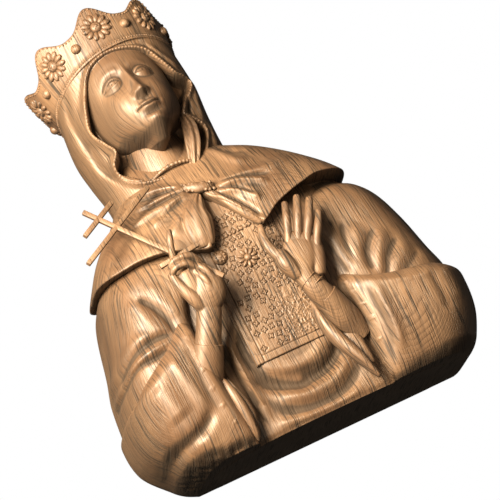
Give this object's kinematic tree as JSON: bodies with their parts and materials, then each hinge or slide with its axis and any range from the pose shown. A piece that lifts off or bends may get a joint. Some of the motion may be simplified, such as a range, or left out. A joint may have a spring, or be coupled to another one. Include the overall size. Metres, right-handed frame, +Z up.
{
  "type": "carved wooden bust",
  "caption": "Carved wooden bust of a crowned, veiled figure in a short cape, one hand holding a three-barred cross and the other raised, standing on its flat underside.",
  "frame": {"origin": "on the flat underside, below the middle of the chest", "axes": "+Z up, the front faces -Y, +X is the viewer's right"},
  "size_m": [0.399, 0.2231, 0.507],
  "materials": {
    "carved_wood": "carved brown hardwood, stained and waxed to a soft gloss, darker in the hollows",
    "pale_wood": "paler split wood sticks with a thin wax"
  },
  "bodies": {
    "root": {"bust": "carved_wood", "cross": "pale_wood"}
  },
  "joints": []
}
